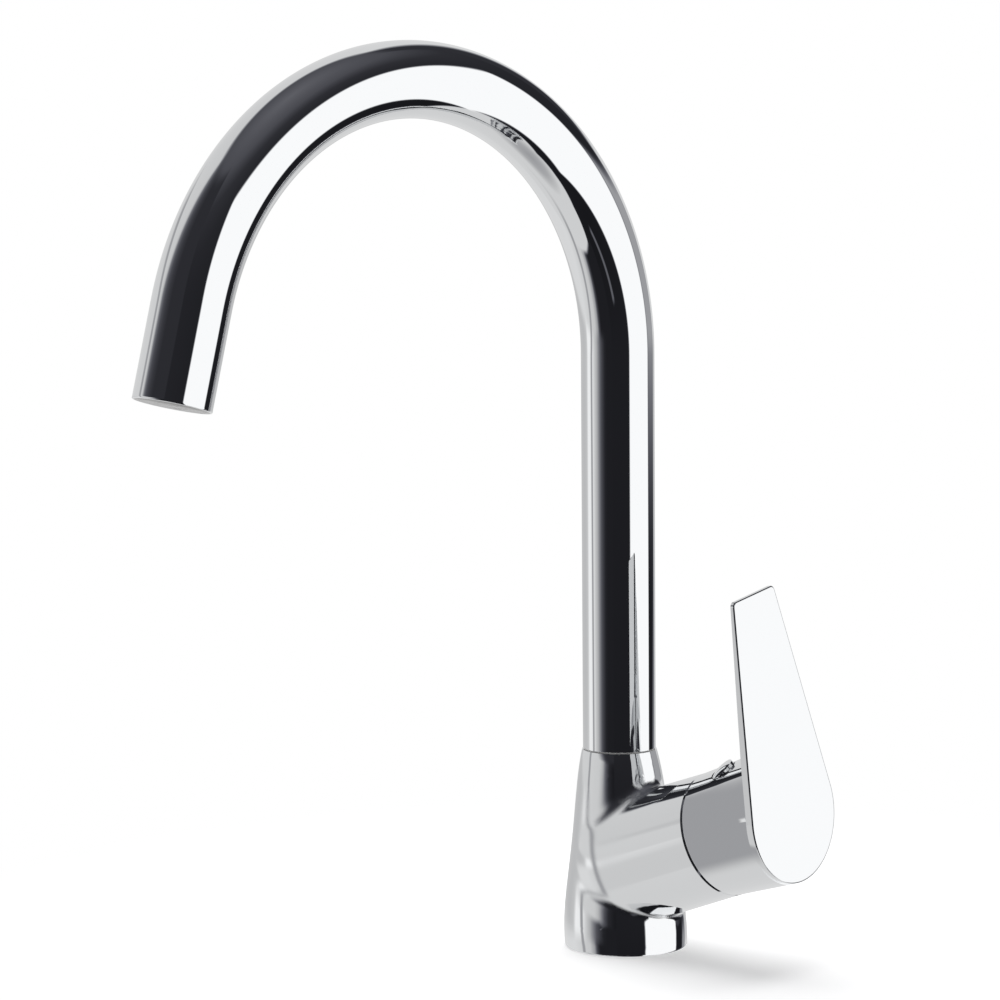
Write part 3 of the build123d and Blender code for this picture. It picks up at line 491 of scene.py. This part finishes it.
def chrome_finish(name, polish_depth):
    """Bright plating with the faint waves of the metal under it and a haze of wiping marks."""
    material, tree, shader = new_finish(name, chrome_colour, metallic=1.0, roughness=0.03)
    wiping = grain(tree, scale=90.0, detail=5.0, stretch=(1.0, 1.0, 0.35))
    roughness_between(tree, shader, wiping, smooth=0.012, rough=0.040)
    bump = raise_bumps(tree, shader, grain(tree, scale=55.0, detail=1.0), depth=polish_depth)
    return material, tree, shader, bump


cast_chrome = chrome_finish("cast_chrome", polish_depth=0.000012)[0]
body_chrome, body_tree, _, body_bump = chrome_finish("body_chrome", polish_depth=0.000012)
drawn_chrome, drawn_tree, drawn_shader, _ = chrome_finish("drawn_chrome", polish_depth=0.000004)
print("chrome:", cast_chrome.name, body_chrome.name, drawn_chrome.name)

# %% [markdown]
# Where the barrel grows out of the column, the polisher's wheel has softened the neck far beyond the
# casting's own small round. Cutting that into the mesh would cost the crisp notch on top. A Bevel node
# softens only the shading there: it averages the surface's direction within a radius, and the radius
# fades to nothing away from the neck, so that the collar, the foot and the seam stay sharp.

# %% Soften the neck
neck_radius = 0.008
neck_middle = (0.004, 0.0, 0.038)
neck_reach = (0.034, 0.024)
neck_samples = 12
from_neck = calculate_vector(body_tree, "DISTANCE", object_place(body_tree), neck_middle)["Value"]
near_neck = soft_step(body_tree, from_neck, *neck_reach)
radius_here = calculate(body_tree, "MULTIPLY", near_neck, neck_radius)
softened = add_node(body_tree, "ShaderNodeBevel", Radius=radius_here)
softened.samples = neck_samples
body_tree.links.new(softened.outputs["Normal"], body_bump.inputs["Normal"])
print("neck softened by a radius of", neck_radius, "m")

# %% [markdown]
# The turned brass parts keep the fine rings that the lathe's tool leaves, and brass darkens in patches
# where fingers have touched it. The rings could be cut into the mesh, at a great cost in faces. Here they
# are a noise that is squeezed along the height, so that it makes flat layers. The steel screws and stem
# have a shorter, finer grain.

# %% Brass and steel
turned_brass, brass_tree, brass_shader = new_finish(
    "turned_brass", (0.71, 0.58, 0.33), metallic=1.0, roughness=0.28)
tool_rings = grain(brass_tree, scale=220.0, detail=3.0, stretch=(0.4, 0.4, 14.0))
tarnish = grain(brass_tree, scale=160.0, detail=4.0)
colour_between(brass_tree, brass_shader, tarnish, dark=(0.62, 0.48, 0.26), light=(0.75, 0.62, 0.37))
roughness_between(brass_tree, brass_shader, tarnish, smooth=0.22, rough=0.36)
raise_bumps(brass_tree, brass_shader, tool_rings, depth=0.00004)

ground_steel, steel_tree, steel_shader = new_finish(
    "ground_steel", (0.62, 0.63, 0.64), metallic=1.0, roughness=0.30)
scratches = grain(steel_tree, scale=600.0, detail=4.0, stretch=(1.0, 8.0, 1.0))
roughness_between(steel_tree, steel_shader, scratches, smooth=0.22, rough=0.38)
raise_bumps(steel_tree, steel_shader, scratches, depth=0.00002)
print("machined metals:", turned_brass.name, ground_steel.name)

# %% [markdown]
# Rubber rings come out of a mould with a dull, slightly dusty skin. The discs are ceramic, lapped so flat
# that two of them seal against each other: hard, pale and smooth with a very fine speckle. Both are even
# materials, so one noise each drives colour, roughness and bump together.

# %% Rubber and ceramic
seal_rubber, rubber_tree, rubber_shader = new_finish(
    "seal_rubber", (0.03, 0.03, 0.03), metallic=0.0, roughness=0.72)
dust = grain(rubber_tree, scale=500.0, detail=5.0)
colour_between(rubber_tree, rubber_shader, dust, dark=(0.022, 0.022, 0.023), light=(0.045, 0.045, 0.046))
roughness_between(rubber_tree, rubber_shader, dust, smooth=0.62, rough=0.82)
raise_bumps(rubber_tree, rubber_shader, dust, depth=0.00003)

lapped_ceramic, ceramic_tree, ceramic_shader = new_finish(
    "lapped_ceramic", (0.90, 0.89, 0.86), metallic=0.0, roughness=0.20)
speckle = grain(ceramic_tree, scale=2400.0, detail=3.0)
colour_between(ceramic_tree, ceramic_shader, speckle, dark=(0.86, 0.85, 0.82), light=(0.92, 0.91, 0.88))
roughness_between(ceramic_tree, ceramic_shader, speckle, smooth=0.16, rough=0.26)
raise_bumps(ceramic_tree, ceramic_shader, speckle, depth=0.000004)
print("seals and discs:", seal_rubber.name, lapped_ceramic.name)

# %% [markdown]
# The moulded parts are filled plastics. A spark eroded mould gives them an even, fine texture, and the
# filler clouds the colour a little. They differ in tone, in how deep the texture is and in gloss, so one
# function makes all three. The dark one, deep in the outlet, is the dullest.

# %% Moulded plastics
def moulded_finish(name, dark, light, smooth, rough, texture_depth, gloss=0.5):
    """Plastic out of a fine grained mould."""
    middle = [(low + high) / 2 for low, high in zip(dark, light)]
    material, tree, shader = new_finish(name, middle, metallic=0.0, roughness=(smooth + rough) / 2)
    shader.inputs["Specular IOR Level"].default_value = gloss
    clouds = grain(tree, scale=120.0, detail=3.0)
    colour_between(tree, shader, clouds, dark, light)
    roughness_between(tree, shader, clouds, smooth, rough)
    raise_bumps(tree, shader, grain(tree, scale=1800.0, detail=2.0), depth=texture_depth)
    return material


grey_plastic = moulded_finish("grey_plastic", dark=(0.52, 0.53, 0.55), light=(0.58, 0.59, 0.61),
                              smooth=0.42, rough=0.56, texture_depth=0.00002)
white_plastic = moulded_finish("white_plastic", dark=(0.86, 0.86, 0.84), light=(0.90, 0.90, 0.88),
                               smooth=0.36, rough=0.48, texture_depth=0.00001)
dark_plastic = moulded_finish("dark_plastic", dark=(0.040, 0.040, 0.045), light=(0.060, 0.060, 0.065),
                              smooth=0.50, rough=0.60, texture_depth=0.00001, gloss=0.1)
print("plastics:", grey_plastic.name, white_plastic.name, dark_plastic.name)

# %% [markdown]
# ## The CAD parts that stay
#
# Most parts have the right shape already. They could be modelled again, as the tube is below, but that
# would add faces that no look shows. So they keep their meshes and only get their finish, in the material
# slots of their objects.

# %% Dress the CAD parts
finishes = {
    body_chrome: ("tap_body",),
    cast_chrome: ("dome_cover", "lever_handle", "indicator_plug"),
    drawn_chrome: ("spout_tube",),
    turned_brass: ("filtered_riser", "spout_foot", "cartridge_nut"),
    ground_steel: ("lever_stem", "stem_pin", "spout_grub_screw", "lever_grub_screw", "mixed_water_screen"),
    seal_rubber: ("base_gasket", "riser_o_ring", "port_seals", "spout_foot_o_rings", "outlet_o_ring",
                  "guide_o_ring"),
    lapped_ceramic: ("fixed_disc", "moving_disc"),
    grey_plastic: ("cartridge_base", "cartridge_housing", "stem_guide", "disc_carrier"),
    white_plastic: ("spout_glide_ring", "filtered_hose"),
    dark_plastic: ("outlet_insert", "filtered_nozzle"),
}
for finish, names in finishes.items():
    for name in names:
        for material_slot in nodes[name].material_slots:
            material_slot.material = finish
    print(finish.name, "on", ", ".join(names))

# %% [markdown]
# ## The spout's tube
#
# The real tube is drawn straight, bent round a former, and polished. A curve with a round bevel would
# give the shape, but not clean rims. So the tube is made as the bender makes it: a circle is pushed up,
# spun round the bend's centre and pushed on to the outlet, once for the outer wall and once for the bore,
# and the two are joined at both rims. The edges of the outlet's rim are then broken. Short rings beside
# each rim keep the shading of the long walls straight up to it.

# %% Sizes of the tube
spout_axis_x = -0.003
spout_turn = math.radians(-4.5)
spout_out = Vector((math.sin(spout_turn), -math.cos(spout_turn), 0.0))
up = Vector((0.0, 0.0, 1.0))
tube_bottom = 0.0768
tube_radius = 0.01397
tube_bore = 0.0128
bend_height = 0.2281
bend_radius = 0.1036
bend_angle = math.radians(165.0)
outlet_run = 0.0352

tube_foot = Vector((spout_axis_x, 0.0, tube_bottom))
bend_centre = Vector((spout_axis_x, 0.0, bend_height)) + spout_out * bend_radius
bend_end = bend_centre + (up * math.sin(bend_angle) - spout_out * math.cos(bend_angle)) * bend_radius
tube_flow = spout_out * math.sin(bend_angle) + up * math.cos(bend_angle)
outlet_centre = bend_end + tube_flow * outlet_run
print("the outlet points along", [round(part, 3) for part in tube_flow])
print("the outlet's centre:", [round(part, 4) for part in outlet_centre])

# %% [markdown]
# Shade falls deep inside the outlet, and the photograph shows the inside of the outlet dark. So painted
# shade is put on the bore there: its colour is darker than the rims. A second material on its faces would
# do it too. Here the tube's own finish knows the bore, by how far a point lies from the outlet's axis and
# how far behind the tube's end, so that the piece stays in one material.

# %% Painted shade in the bore behind the outlet
bore_edge = (0.01325, 0.01335)
bore_shade_depth = (0.020, 0.030)
# the colour of the painted shade on the bore, darker than the chrome of the rims
painted_bore_shade = (0.040, 0.038, 0.036)

from_outlet = calculate_vector(drawn_tree, "SUBTRACT", object_place(drawn_tree), outlet_centre)["Vector"]
across_flow = calculate_vector(drawn_tree, "CROSS_PRODUCT", from_outlet, tube_flow)["Vector"]
off_axis = calculate_vector(drawn_tree, "LENGTH", across_flow)["Value"]
behind_end = calculate_vector(drawn_tree, "DOT_PRODUCT", from_outlet, -tube_flow)["Value"]
# this mask is 0 in the bore behind the outlet, where shade is painted into the chrome's colour, and 1
# elsewhere
outside_bore_shade = calculate(drawn_tree, "MAXIMUM", soft_step(drawn_tree, off_axis, *bore_edge),
                   soft_step(drawn_tree, behind_end, *bore_shade_depth))
colour_between(drawn_tree, drawn_shader, outside_bore_shade, dark=painted_bore_shade, light=chrome_colour)
print("painted shade up to", bore_shade_depth[0], "m behind the tube's end")

# %% [markdown]
# Two helpers do the bender's work and the finishing. The first pushes a loop of edges on and leaves new
# faces behind it. The second turns a finished form into an object. Smooth shading alone would blur the
# rims, so edges sharper than an angle stay sharp.

# %% Helpers for bmesh
merge_distance = 1e-7


def push_on(form, edges, way):
    """Extrudes a loop of edges by a way, and gives the new loop."""
    grown = bmesh.ops.extrude_edge_only(form, edges=edges)["geom"]
    corners = [item for item in grown if isinstance(item, bmesh.types.BMVert)]
    bmesh.ops.translate(form, verts=corners, vec=way)
    return [item for item in grown if isinstance(item, bmesh.types.BMEdge)
            and all(corner in corners for corner in item.verts)]


def finished_piece(name, form, finish, body, slot_name, sharp_degrees):
    """Makes a piece of a bmesh, shades it smooth up to its sharp edges, and parents it to its body's empty.
    """
    bmesh.ops.remove_doubles(form, verts=form.verts, dist=merge_distance)
    bmesh.ops.recalc_face_normals(form, faces=form.faces)
    mesh = bpy.data.meshes.new(name)
    form.to_mesh(mesh)
    form.free()
    mesh.shade_smooth()
    mesh.set_sharp_from_angle(angle=math.radians(sharp_degrees))
    mesh.materials.append(finish)
    piece = bpy.data.objects.new(name, mesh)
    bpy.context.scene.collection.objects.link(piece)
    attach(piece, body)
    print(name, "has", len(mesh.polygons), "faces")
    return piece


print("helpers:", push_on.__name__, finished_piece.__name__)

# %% [markdown]
# Now the two walls are bent and joined, and the outlet's rim is broken. Too few corners round the tube, or
# too few rings along the bend, would show as steps in the long bands of light, so both counts are high.
# The straight runs need fewer rings.

# %% Bend the tube
circle_corners = 96
straight_rings = 12
bend_rings = 132
outlet_rings = 2
rim_ring = 0.0008
rim_round = 0.00035
rim_segments = 3
rim_profile = 0.5


def bent_wall(form, radius):
    """One wall of the tube. Gives its first and last loop of edges."""
    ring = bmesh.ops.create_circle(form, segments=circle_corners, radius=radius,
                                   matrix=Matrix.Translation(tube_foot))["verts"]
    first_loop = list({edge for corner in ring for edge in corner.link_edges})
    loop = push_on(form, first_loop, up * rim_ring)
    for _ in range(straight_rings):
        loop = push_on(form, loop, up * (bend_height - tube_bottom - rim_ring) / straight_rings)
    spun = bmesh.ops.spin(form, geom=loop, cent=bend_centre, axis=up.cross(spout_out), angle=bend_angle,
                          steps=bend_rings, use_duplicate=False)["geom_last"]
    loop = [item for item in spun if isinstance(item, bmesh.types.BMEdge)]
    for _ in range(outlet_rings):
        loop = push_on(form, loop, tube_flow * (outlet_run - rim_ring) / outlet_rings)
    last_loop = push_on(form, loop, tube_flow * rim_ring)
    return first_loop, last_loop


tube_form = bmesh.new()
outer_start, outer_end = bent_wall(tube_form, tube_radius)
inner_start, inner_end = bent_wall(tube_form, tube_bore)
bmesh.ops.bridge_loops(tube_form, edges=outer_start + inner_start)
bmesh.ops.bridge_loops(tube_form, edges=outer_end + inner_end)
bmesh.ops.bevel(tube_form, geom=outer_end + inner_end, offset=rim_round, segments=rim_segments,
                profile=rim_profile, affect="EDGES", material=-1)
bent_tube = finished_piece("bent_tube", tube_form, drawn_chrome, "spout", "chrome", sharp_degrees=50.0)
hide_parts("spout_tube")
